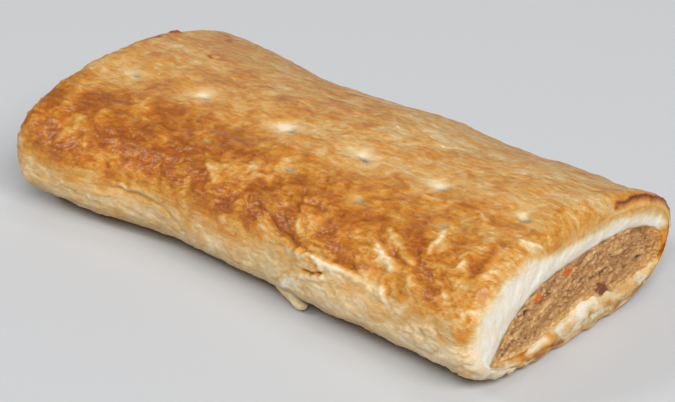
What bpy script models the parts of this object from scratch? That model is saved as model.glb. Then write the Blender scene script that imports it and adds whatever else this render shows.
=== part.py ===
"""A baked sausage roll, cut square at both ends: a puff pastry sleeve round a log of sausage meat.

Metres, +Z up. The roll lies along X with its near end at +X, its front at -Y, and rests on Z = 0.
Run with: blender --background --python part.py
"""

import math

import bmesh
import bpy
import numpy as np
from mathutils import Vector

# Outer size. Each list runs from the far end to the near end in even steps.
LENGTH = 0.140
FRONT_REACH = (0.0380, 0.0377, 0.0340, 0.0345, 0.0358, 0.0373, 0.0379, 0.0395)
BACK_REACH = (0.0420, 0.0398, 0.0358, 0.0362, 0.0376, 0.0355, 0.0364, 0.0350)
HEIGHT = (0.0301, 0.0301, 0.0301, 0.0307, 0.0314, 0.0313, 0.0317, 0.0312)
WIDEST_AT = 0.48  # the height of the widest line, as a share of HEIGHT
CROWN_Y = -0.0012  # the line that both reaches are measured from

# How square each quarter of the outer section is: 2 is an ellipse, more is squarer.
TOP_FRONT_POWER = 2.34
TOP_BACK_POWER = 1.62
TOP_BACK_POWER_AT_END = 2.3
BOTTOM_FRONT_POWER = 3.0
BOTTOM_BACK_POWER = 3.0
SQUARER_OVER = 0.006  # the stretch before the near end where the top back corner fills out

# The underside: cut off flat, with the lap of the sheet standing proud of what it covers.
FLATTENED_BY = 0.0004
LAP_EDGE_Y = 0.0232
LAP_STEP = 0.0045

# Ends: the crust turns over towards the cut, by these shares of the rounding.
END_ROUNDING = 0.0055
TOP_TURN = 0.75
FRONT_TURN = 0.8
BACK_TURN = 0.4
BOTTOM_TURN = 0.45
MOUTH_DEPTH = 0.0010  # how far the cut crust slopes in to the filling

# The crust's unevenness, as shares of the section's size: slow waves, and the blisters on the top.
WAVE = 0.009
WAVE_LENGTH = 0.046
BLISTER = 0.009

# The hollow: a half-moon with its point to the front, the same at both ends. The line between its
# tips and its floor both climb towards the back, and the overlapped sheet under it humps the floor.
HOLLOW_FRONT = 0.0304
HOLLOW_BACK = 0.0316
HOLLOW_AXIS_Z = 0.0086
HOLLOW_AXIS_SLOPE = 0.064
HOLLOW_TOP = 0.0118
HOLLOW_FLOOR_Z = 0.0053
HOLLOW_FLOOR_SLOPE = 0.028
HOLLOW_HUMP = 0.0027
HOLLOW_HUMP_HALF_WIDTH = 0.013
HOLLOW_FRONT_POWERS = (4.0, 0.91)  # across and up
HOLLOW_BACK_POWERS = (2.1, 2.1)
HOLLOW_FLOOR_POWER = 3.0
GAP = 0.0003  # clearance between the filling and the sleeve

FILLING_RECESS = 0.0012
FILLING_ROUGH = 0.0004  # how uneven the cut face of the filling is
CRUMB = 0.0016  # the size of the lumps on that face

# Docking marks: two staggered rows of prick holes, as (x, y).
FIRST_HOLES = (
    (-0.0532, -0.0106), (-0.0319, -0.0101), (-0.0048, -0.0108),
    (0.0176, -0.0104), (0.0402, -0.0099), (0.0620, -0.0103),
)
SECOND_HOLES = (
    (-0.0415, -0.0227), (-0.0204, -0.0222), (0.0047, -0.0212), (0.0268, -0.0212), (0.0480, -0.0197),
)
HOLE_RADIUS = 0.0009
HOLE_DEPTH = 0.0026

# The curl: a tongue of dough that escaped under the front and lies on the surface below.
CURL_ROUTE = (
    (0.0080, -0.0205, 0.0030),
    (0.0092, -0.0295, 0.0021),
    (0.0128, -0.0333, 0.0018),
    (0.0165, -0.0338, 0.0018),
    (0.0184, -0.0317, 0.0019),
)
CURL_RADII = (0.0016, 0.0019, 0.0016, 0.0015, 0.0010)

# Mesh divisions.
AROUND = 60
OUTER_ROWS = 42
TURN_ROWS = 4
HOLLOW_ROWS = 6
CAP_RINGS = 4

PASTRY_COLOUR = (0.62, 0.33, 0.10, 1.0)
FILLING_COLOUR = (0.46, 0.25, 0.11, 1.0)


def clear_scene():
    for item in list(bpy.data.objects):
        bpy.data.objects.remove(item, do_unlink=True)


def collection(name):
    group = bpy.data.collections.new(name)
    bpy.context.scene.collection.children.link(group)
    return group


def material(name, colour, roughness):
    made = bpy.data.materials.new(name)
    made.use_nodes = True
    shader = made.node_tree.nodes["Principled BSDF"]
    shader.inputs["Base Color"].default_value = colour
    shader.inputs["Roughness"].default_value = roughness
    shader.inputs["Metallic"].default_value = 0.0
    return made


def smooth_through(values):
    """A smooth function of x through values set at even steps along the roll."""
    values = np.array(values)
    slopes = np.gradient(values)

    def at(x):
        place = (min(max(x / LENGTH, -0.5), 0.5) + 0.5) * (len(values) - 1)
        step = min(int(place), len(values) - 2)
        t = place - step
        from_values = values[step] * (2 * t**3 - 3 * t**2 + 1) + values[step + 1] * (3 * t**2 - 2 * t**3)
        from_slopes = slopes[step] * (t**3 - 2 * t**2 + t) + slopes[step + 1] * (t**3 - t**2)
        return from_values + from_slopes

    return at


FRONT_AT = smooth_through(FRONT_REACH)
BACK_AT = smooth_through(BACK_REACH)
HEIGHT_AT = smooth_through(HEIGHT)


def squared(value, power):
    """A sine or cosine bent so that the section gets squarer corners as power rises."""
    return math.copysign(abs(value) ** (2 / power), value)


def top_back_power(x):
    share = min(max((x - LENGTH / 2 + SQUARER_OVER) / SQUARER_OVER, 0.0), 1.0)
    return TOP_BACK_POWER + (TOP_BACK_POWER_AT_END - TOP_BACK_POWER) * share


def unevenness(x, angle):
    """How far the crust swells or sinks, as a factor on the section's size."""
    phase = 2 * math.pi * x / WAVE_LENGTH
    wave = math.sin(phase + 2.2 * math.cos(angle)) * math.cos(angle + 0.6) ** 2
    blister = math.sin(2.9 * phase + 3 * angle) * math.sin(5 * angle - 1.7 * phase)
    return 1 + WAVE * wave + BLISTER * blister * max(math.sin(angle), 0.0)


def outer_point(x, inset, angle):
    """A point of the outer crust: angle runs from the back (0) over the top to the front and under."""
    cosine, sine = math.cos(angle), math.sin(angle)
    if cosine >= 0:
        reach = BACK_AT(x) - BACK_TURN * inset
    else:
        reach = FRONT_AT(x) - FRONT_TURN * inset
    top = HEIGHT_AT(x) - TOP_TURN * inset
    middle = WIDEST_AT * HEIGHT_AT(x)
    swell = unevenness(x, angle)
    if sine >= 0:
        power = top_back_power(x) if cosine >= 0 else TOP_FRONT_POWER
        y = reach * squared(cosine, power) * swell
        z = middle + (top - middle) * squared(sine, power) * swell
    else:
        power = BOTTOM_BACK_POWER if cosine >= 0 else BOTTOM_FRONT_POWER
        y = reach * squared(cosine, power) * (1 + (swell - 1) * cosine * cosine)
        depth = middle + FLATTENED_BY - BOTTOM_TURN * inset
        z = max(middle + depth * squared(sine, power), 0.0)
    return Vector((x, CROWN_Y + y, z))


def hollow_point(x, angle, gap=0.0):
    """A point of the hollow's wall, or of a log that clears it by gap."""
    cosine, sine = math.cos(angle), math.sin(angle)
    reach = (HOLLOW_BACK if cosine >= 0 else HOLLOW_FRONT) - gap
    across, up = HOLLOW_BACK_POWERS if cosine >= 0 else HOLLOW_FRONT_POWERS
    if sine < 0:
        across = up = HOLLOW_FLOOR_POWER
    y = reach * squared(cosine, across)
    axis = HOLLOW_AXIS_Z + HOLLOW_AXIS_SLOPE * y
    if sine >= 0:
        z = axis + (HOLLOW_TOP - gap) * squared(sine, up)
    else:
        hump = HOLLOW_HUMP * math.exp(-((y / HOLLOW_HUMP_HALF_WIDTH) ** 2))
        floor = HOLLOW_FLOOR_Z + HOLLOW_FLOOR_SLOPE * y + hump + gap
        z = axis + (axis - floor) * squared(sine, up)
    return Vector((x, CROWN_Y + y, z))


def lofted(name, rows, group, paint):
    """An object whose surface runs through rows, each a function of the angle round the section."""
    shape = bmesh.new()
    bmesh.ops.create_grid(shape, x_segments=AROUND, y_segments=len(rows) - 1, size=0.5)
    for vert in shape.verts:
        step = round((vert.co.x + 0.5) * AROUND) % AROUND
        row = round((vert.co.y + 0.5) * (len(rows) - 1))
        vert.co = rows[row](2 * math.pi * step / AROUND)
    bmesh.ops.remove_doubles(shape, verts=shape.verts[:], dist=1e-6)
    bmesh.ops.recalc_face_normals(shape, faces=shape.faces[:])
    mesh = bpy.data.meshes.new(name)
    shape.to_mesh(mesh)
    shape.free()
    made = bpy.data.objects.new(name, mesh)
    group.objects.link(made)
    if paint:
        mesh.materials.append(paint)
    return made


def outer_rows():
    """Rows of the crust from the far cut to the near cut, closer together where the ends turn over."""
    turn = [math.pi / 2 * step / TURN_ROWS for step in range(TURN_ROWS, 0, -1)]
    straight = LENGTH / 2 - END_ROUNDING
    places = []
    for tilt in turn:
        places.append((-straight - END_ROUNDING * math.sin(tilt), END_ROUNDING * (1 - math.cos(tilt))))
    for step in range(OUTER_ROWS + 1):
        places.append((-straight + 2 * straight * step / OUTER_ROWS, 0.0))
    for x, inset in reversed(places[:TURN_ROWS]):
        places.append((-x, inset))
    return [lambda angle, x=x, inset=inset: outer_point(x, inset, angle) for x, inset in places]


def hollow_rows():
    """Rows of the hollow's wall from the near mouth back to the far mouth."""
    reach = LENGTH / 2 - MOUTH_DEPTH
    places = [reach - 2 * reach * step / HOLLOW_ROWS for step in range(HOLLOW_ROWS + 1)]
    return [lambda angle, x=x: hollow_point(x, angle) for x in places]


def make_sleeve(group):
    crust = outer_rows()
    rows = crust + hollow_rows() + crust[:1]
    return lofted("pastry", rows, group, material("pastry", PASTRY_COLOUR, 0.42))


def make_filling(group):
    """The log of meat, with a slightly uneven face at each cut."""
    end = LENGTH / 2 - FILLING_RECESS

    def cap_row(side, share):
        def row(angle):
            point = hollow_point(side * end, angle, GAP)
            centre = Vector((side * end, CROWN_Y, HOLLOW_AXIS_Z + HOLLOW_TOP / 3))
            point = centre.lerp(point, share)
            if share < 1:
                lump = math.sin(point.y / CRUMB) * math.sin(point.z / CRUMB + point.y / LENGTH)
                point.x += side * FILLING_ROUGH * (lump - 1)
            return point

        return row

    shares = [ring / CAP_RINGS for ring in range(CAP_RINGS + 1)]
    rows = [cap_row(-1, share) for share in shares]
    for step in range(1, HOLLOW_ROWS):
        x = -end + 2 * end * step / HOLLOW_ROWS
        rows.append(lambda angle, x=x: hollow_point(x, angle, GAP))
    rows += [cap_row(1, share) for share in reversed(shares)]
    return lofted("filling", rows, group, material("filling", FILLING_COLOUR, 0.6))


def boolean(target, other, operation):
    step = target.modifiers.new(other.name, "BOOLEAN")
    step.operation = operation
    step.solver = "EXACT"
    step.object = other


def as_cutter(made, group):
    for owner in list(made.users_collection):
        owner.objects.unlink(made)
    group.objects.link(made)
    made.hide_render = True
    made.display_type = "WIRE"
    return made


def crust_height(x, y):
    """The height of the crust over (x, y), found by halving the angle on the front of the top."""
    low, high = math.pi / 2, math.pi
    for _ in range(40):
        middle = (low + high) / 2
        if outer_point(x, 0.0, middle).y > y:
            low = middle
        else:
            high = middle
    return outer_point(x, 0.0, low).z


def prick_holes(sleeve, group):
    """Cones pushed into the crust where the docker pricked the sheet."""
    shape = bmesh.new()
    for x, y in FIRST_HOLES + SECOND_HOLES:
        cone = bmesh.ops.create_cone(
            shape, cap_ends=True, segments=8, radius1=HOLE_RADIUS / 3, radius2=HOLE_RADIUS,
            depth=2 * HOLE_DEPTH,
        )
        bmesh.ops.translate(shape, verts=cone["verts"], vec=(x, y, crust_height(x, y)))
    mesh = bpy.data.meshes.new("prick_holes")
    shape.to_mesh(mesh)
    shape.free()
    holes = bpy.data.objects.new("prick_holes", mesh)
    group.objects.link(holes)
    boolean(sleeve, as_cutter(holes, group), "DIFFERENCE")


def step_the_underside(sleeve, group):
    """The underside behind the lap's edge sits higher, because only the lap touches the surface."""
    bpy.ops.mesh.primitive_cube_add(size=1.0)
    cutter = bpy.context.object
    cutter.name = "under_the_lap"
    width = 0.06
    cutter.scale = (LENGTH * 1.2, width, 2 * LAP_STEP)
    cutter.location = (0.0, LAP_EDGE_Y + width / 2, 0.0)
    boolean(sleeve, as_cutter(cutter, group), "DIFFERENCE")


def add_curl(sleeve, group):
    """The tongue of dough under the front, as a tapered tube joined to the sleeve."""
    curve = bpy.data.curves.new("curl", "CURVE")
    curve.dimensions = "3D"
    curve.bevel_depth = 1.0
    curve.bevel_resolution = 2
    curve.resolution_u = 3
    curve.use_fill_caps = True
    spline = curve.splines.new("BEZIER")
    spline.bezier_points.add(len(CURL_ROUTE) - 1)
    for point, place, radius in zip(spline.bezier_points, CURL_ROUTE, CURL_RADII):
        point.co = place
        point.radius = radius
        point.handle_left_type = "AUTO"
        point.handle_right_type = "AUTO"
    drawn = bpy.data.objects.new("curl_curve", curve)
    group.objects.link(drawn)
    bpy.context.view_layer.update()
    mesh = bpy.data.meshes.new_from_object(drawn.evaluated_get(bpy.context.evaluated_depsgraph_get()))
    shape = bmesh.new()
    shape.from_mesh(mesh)
    bmesh.ops.remove_doubles(shape, verts=shape.verts[:], dist=1e-6)
    shape.to_mesh(mesh)
    shape.free()
    bpy.data.objects.remove(drawn, do_unlink=True)
    curl = bpy.data.objects.new("curl", mesh)
    group.objects.link(curl)
    boolean(sleeve, as_cutter(curl, group), "UNION")


def main():
    clear_scene()
    parts = collection("sausage_roll")
    cutters = collection("cutters")
    sleeve = make_sleeve(parts)
    step_the_underside(sleeve, cutters)
    prick_holes(sleeve, cutters)
    add_curl(sleeve, cutters)
    make_filling(parts)


main()
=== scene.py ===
"""The looks of the sausage roll: crust, cut ends, filling and curl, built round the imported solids.

Lengths are in millimetres until a mesh is made. The crust is charted by x, along the roll from the
far end (-) to the near end (+), and by s, the way round the section from the crown: + down the front,
- down the back.
"""

import math

import bmesh
import bpy
import numpy as np
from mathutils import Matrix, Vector


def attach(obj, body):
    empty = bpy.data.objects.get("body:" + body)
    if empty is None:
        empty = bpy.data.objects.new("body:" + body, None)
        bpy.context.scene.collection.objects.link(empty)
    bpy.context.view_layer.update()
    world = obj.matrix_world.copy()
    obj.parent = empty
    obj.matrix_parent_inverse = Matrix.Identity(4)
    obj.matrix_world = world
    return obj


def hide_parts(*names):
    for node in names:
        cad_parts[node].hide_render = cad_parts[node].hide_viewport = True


MM = 0.001
# points of a mesh closer than this, in metres, are one
SAME_POINT = 1e-6
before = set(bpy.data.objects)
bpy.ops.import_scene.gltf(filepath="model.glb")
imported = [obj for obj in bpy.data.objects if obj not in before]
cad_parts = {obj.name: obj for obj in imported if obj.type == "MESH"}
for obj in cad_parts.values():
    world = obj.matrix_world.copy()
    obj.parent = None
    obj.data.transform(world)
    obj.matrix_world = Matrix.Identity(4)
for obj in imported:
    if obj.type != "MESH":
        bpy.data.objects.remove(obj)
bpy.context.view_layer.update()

# ---- The form, from the same named sizes as the solids ----
LENGTH = 140.0
HALF = LENGTH / 2
FRONT_REACH = (38.0, 37.7, 34.0, 34.5, 35.8, 37.3, 37.9, 39.5)
BACK_REACH = (42.0, 39.8, 35.8, 36.2, 37.6, 35.5, 36.4, 35.0)
HEIGHT = (30.1, 30.1, 30.1, 30.7, 31.4, 31.3, 31.7, 31.2)
WIDEST_AT = 0.48
CROWN_Y = -1.2
TOP_FRONT_POWER = 2.34
TOP_BACK_POWER = 1.62
TOP_BACK_POWER_AT_END = 2.3
BOTTOM_POWER = 3.0
SQUARER_OVER = 6.0
FLATTENED_BY = 0.4
LAP_EDGE_Y = 23.2
LAP_STEP = 4.5
END_ROUNDING = 5.5
TOP_TURN = 0.75
FRONT_TURN = 0.8
BACK_TURN = 0.4
BOTTOM_TURN = 0.45
MOUTH_DEPTH = 1.0
WAVE = 0.009
WAVE_LENGTH = 46.0
BLISTER = 0.009
HOLLOW_FRONT = 30.4
HOLLOW_BACK = 31.6
HOLLOW_AXIS_Z = 8.6
HOLLOW_AXIS_SLOPE = 0.064
HOLLOW_TOP = 11.8
HOLLOW_FLOOR_Z = 5.3
HOLLOW_FLOOR_SLOPE = 0.028
HOLLOW_HUMP = 2.7
HOLLOW_HUMP_HALF_WIDTH = 13.0
HOLLOW_FRONT_POWERS = (4.0, 0.91)
HOLLOW_BACK_POWERS = (2.1, 2.1)
HOLLOW_FLOOR_POWER = 3.0


def smooth_through(values):
    """A smooth function of x through values set at even steps along the roll."""
    values = np.array(values)
    slopes = np.gradient(values)

    def at(x):
        place = (np.clip(x / LENGTH, -0.5, 0.5) + 0.5) * (len(values) - 1)
        step = np.minimum(place.astype(int), len(values) - 2)
        t = place - step
        from_values = values[step] * (2 * t**3 - 3 * t**2 + 1) + values[step + 1] * (3 * t**2 - 2 * t**3)
        from_slopes = slopes[step] * (t**3 - 2 * t**2 + t) + slopes[step + 1] * (t**3 - t**2)
        return from_values + from_slopes

    return at


FRONT_AT = smooth_through(FRONT_REACH)
BACK_AT = smooth_through(BACK_REACH)
HEIGHT_AT = smooth_through(HEIGHT)


def squared(value, power):
    """value (-1 to 1) bent so that a circle's sine and cosine draw a squarer oval."""
    return np.sign(value) * np.abs(value) ** (2 / power)


def ease(value, low, high):
    """0 below low, 1 above high, smooth between; low may be above high."""
    t = np.clip((value - low) / (high - low), 0.0, 1.0)
    return t * t * (3 - 2 * t)


def bell(value, width):
    """1 at 0, falling off over width to either side."""
    return np.exp(-((value / width) ** 2))


def outer_points(x, inset, angle):
    """The crust of part.py, for whole arrays: shape (..., 3)."""
    cosine, sine = np.cos(angle), np.sin(angle)
    behind = cosine >= 0
    reach = np.where(behind, BACK_AT(x) - BACK_TURN * inset, FRONT_AT(x) - FRONT_TURN * inset)
    top = HEIGHT_AT(x) - TOP_TURN * inset
    middle = WIDEST_AT * HEIGHT_AT(x)
    share = np.clip((x - HALF + SQUARER_OVER) / SQUARER_OVER, 0.0, 1.0)
    back_power = TOP_BACK_POWER + (TOP_BACK_POWER_AT_END - TOP_BACK_POWER) * share
    top_power = np.where(behind, back_power, TOP_FRONT_POWER)
    phase = 2 * math.pi * x / WAVE_LENGTH
    wave = np.sin(phase + 2.2 * cosine) * np.cos(angle + 0.6) ** 2
    blister = np.sin(2.9 * phase + 3 * angle) * np.sin(5 * angle - 1.7 * phase)
    swell = 1 + WAVE * wave + BLISTER * blister * np.maximum(sine, 0)
    y_above = reach * squared(cosine, top_power) * swell
    z_above = middle + (top - middle) * squared(sine, top_power) * swell
    y_below = reach * squared(cosine, BOTTOM_POWER) * (1 + (swell - 1) * cosine * cosine)
    depth = middle + FLATTENED_BY - BOTTOM_TURN * inset
    z_below = np.maximum(middle + depth * squared(sine, BOTTOM_POWER), 0.0)
    y = CROWN_Y + np.where(sine >= 0, y_above, y_below)
    z = np.where(sine >= 0, z_above, z_below)
    return np.stack(np.broadcast_arrays(x, y, z), axis=-1)


def hollow_floor(y):
    """The height of the hollow's humped floor."""
    hump = HOLLOW_HUMP * bell(y, HOLLOW_HUMP_HALF_WIDTH)
    return HOLLOW_FLOOR_Z + HOLLOW_FLOOR_SLOPE * y + hump


def hollow_points(x, angle):
    """The wall of the hollow in the solids, for whole arrays: shape (..., 3)."""
    cosine, sine = np.cos(angle), np.sin(angle)
    behind = cosine >= 0
    above = sine >= 0
    across = np.where(behind, HOLLOW_BACK_POWERS[0], HOLLOW_FRONT_POWERS[0])
    up = np.where(behind, HOLLOW_BACK_POWERS[1], HOLLOW_FRONT_POWERS[1])
    across = np.where(above, across, HOLLOW_FLOOR_POWER)
    up = np.where(above, up, HOLLOW_FLOOR_POWER)
    y = np.where(behind, HOLLOW_BACK, HOLLOW_FRONT) * squared(cosine, across)
    axis = HOLLOW_AXIS_Z + HOLLOW_AXIS_SLOPE * y
    rise = np.where(above, HOLLOW_TOP, axis - hollow_floor(y))
    z = axis + rise * squared(sine, up)
    return np.stack(np.broadcast_arrays(x, CROWN_Y + y, z), axis=-1)


def mouth_wobble(points, side):
    """How far up the mouth's edge strays at points on it: torn, and more so along its floor."""
    wobble = value_noise(points / 2.4 + side, 93) + 0.6 * value_noise(points / 1.0 + side, 94)
    floor = ease(points[..., 2], 13.0, 9.0)
    return (0.22 + 0.38 * floor) * wobble * ease(np.abs(points[..., 1]), 30.0, 26.0)


def round_the_section():
    """Angles round the middle section, and s, the way round it from the crown, at each."""
    angles = np.linspace(-math.pi / 2, 1.5 * math.pi, 4001)
    ring = outer_points(np.zeros_like(angles), 0.0, angles)
    steps = np.hypot(np.diff(ring[:, 1]), np.diff(ring[:, 2]))
    run = np.concatenate([[0.0], np.cumsum(steps)])
    return angles, run - np.interp(math.pi / 2, angles, run)


# ---- Noise ----
TABLE_SIZE = 8191
PRIMES = np.array([73856093, 19349663, 83492791], dtype=np.int64)


def lattice_key(cell):
    """The place in a table of random numbers of each lattice cell."""
    mixed = cell * PRIMES
    return (mixed[..., 0] ^ mixed[..., 1] ^ mixed[..., 2]) % TABLE_SIZE


def value_noise(points, seed):
    """Smooth noise between -1 and 1, one lattice cell to a unit of points (shape (..., 3))."""
    table = np.random.default_rng(seed).uniform(-1, 1, TABLE_SIZE)
    cell = np.floor(points).astype(np.int64)
    part = points - cell
    part = part * part * part * (part * (part * 6 - 15) + 10)
    total = 0.0
    for corner in np.ndindex(2, 2, 2):
        weight = np.prod(np.where(np.array(corner) == 1, part, 1 - part), axis=-1)
        total = total + weight * table[lattice_key(cell + np.array(corner))]
    return total


def layered_noise(points, seed, octaves=3, fall=0.5):
    """Noise in ever finer layers, each fall times as strong as the last."""
    total, weight, size = 0.0, 1.0, 1.0
    for octave in range(octaves):
        total = total + weight * value_noise(points * size, seed + 31 * octave)
        weight *= fall
        size *= 2.03
    return total


def ridged(points, seed, octaves=2):
    """Noise with sharp crests: 1 on a crest line, falling to -1 between."""
    total, weight, whole = 0.0, 1.0, 0.0
    for octave in range(octaves):
        crest = 1 - 2.4 * np.abs(value_noise(points * 2.0**octave, seed + 17 * octave))
        total = total + weight * crest
        whole += weight
        weight *= 0.5
    return np.clip(total / whole, -1, 1)


def warped(points, seed, amount):
    """points pushed about by amount of their own units, so that patterns on them meander."""
    push = np.stack([layered_noise(points + 7.7 * k, seed + k, 2) for k in range(3)], axis=-1)
    return points + amount * push


def terraced(value, steps):
    """value flattened into plateaus with steep edges, as where flakes have lifted off."""
    level = value * steps
    floor = np.floor(level)
    return (floor + ease(level - floor, 0.30, 0.62)) / steps


def cell_noise(points, seed):
    """Distances to the nearest and second nearest of scattered points, and the nearest one's number."""
    jitter = np.random.default_rng(seed).uniform(0.08, 0.92, (TABLE_SIZE, 3))
    cell = np.floor(points).astype(np.int64)
    first = np.full(points.shape[:-1], 9.0)
    second = first.copy()
    label = np.zeros(points.shape[:-1], dtype=np.int64)
    for offset in np.ndindex(3, 3, 3):
        near = cell + np.array(offset) - 1
        key = lattice_key(near)
        gap = np.linalg.norm(near + jitter[key] - points, axis=-1)
        closer = gap < first
        second = np.where(closer, first, np.minimum(second, gap))
        label = np.where(closer, key, label)
        first = np.where(closer, gap, first)
    return first, second, label


def on_chart(x, s, along, across, shift=0.0):
    """Noise coordinates on the chart, for grain of the given length along x and across it."""
    return np.stack([x / along + shift, s / across, np.full_like(x, shift)], axis=-1)


# ---- Crust ----
# x and s of each knot of a crease or ridge in turn, then its width and height in mm, and its browning; a
# ridge's negative browning is painted highlight, and a crease's browning is partly painted shade and partly
# real browning
STROKES = (
    # where the golden top ends on the paler sheet below, and the slit in that sheet
    ((9, 34, 12.5, 36, 16.5, 37.1, 21, 37.2, 26, 36.7, 32, 36.7, 37, 37.2, 41, 38.8), 0.5, -0.42, 0.34),
    ((17, 38.6, 21, 38.5, 26, 37.8, 31, 37.9, 36, 38.4, 40.4, 40), 0.8, 0.5, -0.2),
    ((21.6, 43, 23.5, 41.8, 26, 40.9, 28.6, 40.2), 0.36, -1, 0.8),
    ((20.6, 45, 23, 43.2, 26.6, 42, 30.4, 40.8), 0.6, 0.42, -0.14),
    ((12.4, 51.5, 14.4, 49.6, 17, 47, 19.2, 44.8), 0.6, 0.4, -0.16),
    ((10.8, 50.5, 13, 48.2, 15.6, 45.6, 17.8, 43.6), 0.5, -0.34, 0.14),
    ((-38.4, 42.4, -33.5, 42.6, -28.2, 42.2, -23, 43.2, -17.6, 45.2), 0.5, -0.3, 0.12),
    ((-39.5, 41, -34.8, 41.2, -29, 40.8, -24, 41.8), 0.7, 0.34, -0.12),
    # wrinkles of the near half, down the front
    ((49.9, 20.4, 50.4, 23, 50.5, 26, 50.8, 29.2), 0.75, 0.62, -0.34),
    ((47.8, 26.4, 48.9, 29.2, 51.8, 32), 0.55, -0.46, 0.28),
    ((58.8, 28.2, 59.8, 27, 60.4, 25.3), 1, 0.55, -0.3),
    ((57.4, 26.8, 58.8, 24.9, 59.8, 24, 61.6, 23.6), 0.55, 0.42, -0.28),
    ((61.2, 25.4, 62.6, 26.2, 64.4, 27.8), 1.1, -0.3, 0.22),
    ((36.4, 28.6, 39.2, 30.8, 41.5, 32.2, 44.5, 33.2, 47.5, 34), 1, 0.46, -0.22),
    ((38.4, 25, 41.8, 28.4, 45, 29.9, 48, 30.6, 49.8, 31.6), 0.7, 0.34, -0.14),
    ((34.4, 24, 38.6, 28.4, 42.6, 30.8, 46.6, 31.6, 50.5, 32.8, 54.4, 34.2), 0.7, -0.46, 0.24),
    ((65.6, 27.6, 67.3, 25.2, 69.2, 23), 0.65, 0.42, -0.22),
    ((56, 29.9, 59.3, 31.4, 62.4, 32.7), 0.6, -0.4, 0.26),
    ((58, 32, 60.1, 33.4, 61.7, 35), 0.7, 0.36, -0.2),
    ((56, 33.6, 56.6, 35.2, 57.2, 37), 1.1, -0.22, 0.2),
    ((44, 38.2, 44.8, 39.4, 46, 40.8), 0.6, 0.36, -0.26),
    ((49.2, 33.8, 50.8, 35, 52.6, 36.4), 1.1, 0.36, -0.26),
    ((39, 36.4, 40, 38.2, 41.6, 39.8), 0.8, 0.28, -0.18),
    ((52.4, 23.4, 52.7, 25.4, 53, 27.6), 1.1, 0.26, -0.12),
    ((25, 14.5, 28.5, 17, 31, 20.5), 0.6, 0.22, -0.08),
    ((20.5, 24, 23.5, 27.5, 27.5, 29.5), 0.7, 0.26, -0.1),
    ((56, 16.5, 59, 18.5, 63.5, 19.4), 0.6, 0.26, -0.12),
    ((12, 24.8, 13.6, 27, 14.8, 29, 15.5, 31.2), 0.4, -0.46, 0.3),
    ((16.8, 31.6, 17.6, 33, 18.8, 34.6), 0.95, 0.46, -0.36),
    ((7.6, 33.2, 9.4, 34.6, 11.2, 35.5, 13.8, 37), 0.45, -0.4, 0.26),
    ((51, 13, 53.5, 13.7, 56.4, 14.7), 0.5, 0.28, -0.22),
    ((64.6, 14.4, 66.2, 15, 68, 15.7), 0.4, 0.28, -0.2),
    ((67, 14.3, 68.4, 14, 70, 13.6), 0.4, 0.28, -0.16),
    # wrinkles of the far half
    ((-49.2, 26.8, -48.9, 24.2, -47.8, 22.2, -45.4, 21.6), 0.95, 0.4, -0.16),
    ((-51.4, 29.2, -49.2, 31.2, -48.2, 34), 0.9, 0.34, -0.14),
    ((-57.4, 27.4, -56.6, 26.4, -55.8, 25.4), 0.8, 0.3, -0.12),
    ((-34.6, 28.4, -34.8, 25.4, -33, 23.2), 0.85, 0.36, -0.16),
    ((-22.2, 24.3, -19.8, 24.1, -17.4, 23.9), 0.8, 0.36, -0.16),
    ((-15.6, 27.6, -13.6, 29.4, -11.2, 31, -8.6, 33.7), 1.15, 0.42, -0.2),
    ((-9.4, 26.4, -9.8, 27.8, -10.2, 29.6), 0.8, 0.3, -0.16),
    ((-9, 22.4, -8.5, 20.6, -7.8, 18.8), 0.7, 0.28, -0.14),
    ((-4.4, 24.6, -2.3, 26, 0, 27.2), 0.9, 0.28, -0.14),
    ((-14.6, 31.6, -12.6, 33.2, -11.4, 35.6), 0.6, -0.32, 0.14),
    ((-63, 22, -60, 25, -55, 26.4, -51, 29.5), 0.9, 0.2, -0.08),
    ((-30, 17.4, -26, 18.6, -21, 18.2), 0.8, 0.22, -0.08),
    ((-44.5, 27.4, -44.2, 30.6, -41.4, 32.6, -38.2, 33.2), 1, -0.3, 0.14),
    # streaks on the top
    ((-30, -1.4, -27, 0.6, -23, 2.6), 0.4, 0.2, -0.1),
    ((-13.2, -1.8, -12.2, -1, -11, 0.4), 0.5, 0.26, -0.16),
    ((6.8, 5.9, 8, 5.1, 9, 3.9), 0.4, 0.3, -0.24),
    ((28.6, 10.6, 34, 13, 38, 13.8, 44.6, 13.3, 47.3, 11), 0.6, 0.24, -0.1),
    ((40, 5.2, 43, 5, 45.8, 3.5), 0.5, 0.2, -0.14),
    ((46.6, -9.4, 48.4, -7, 49.4, -4.6), 0.7, 0.22, -0.14),
    ((6.6, -12, 8.8, -9.6, 11.6, -7.4, 16.4, -5.2), 0.6, 0.25, -0.12),
    ((-53, -14, -52, -11, -51.5, -8), 0.8, 0.2, -0.1),
    ((-49.8, -8.3, -46.4, -8.4, -42.6, -9.2), 0.45, -0.45, 0.62),
    # scorched crumbs on the top edge of the far end
    ((-67.3, -4.4, -66.3, -6.2, -66.3, -8.2, -67, -10.2), 0.5, 0.12, 0.8),
    ((-67.2, -12, -66.8, -13.6, -66.1, -15.4), 0.9, 0.55, 0.95),
)

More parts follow.
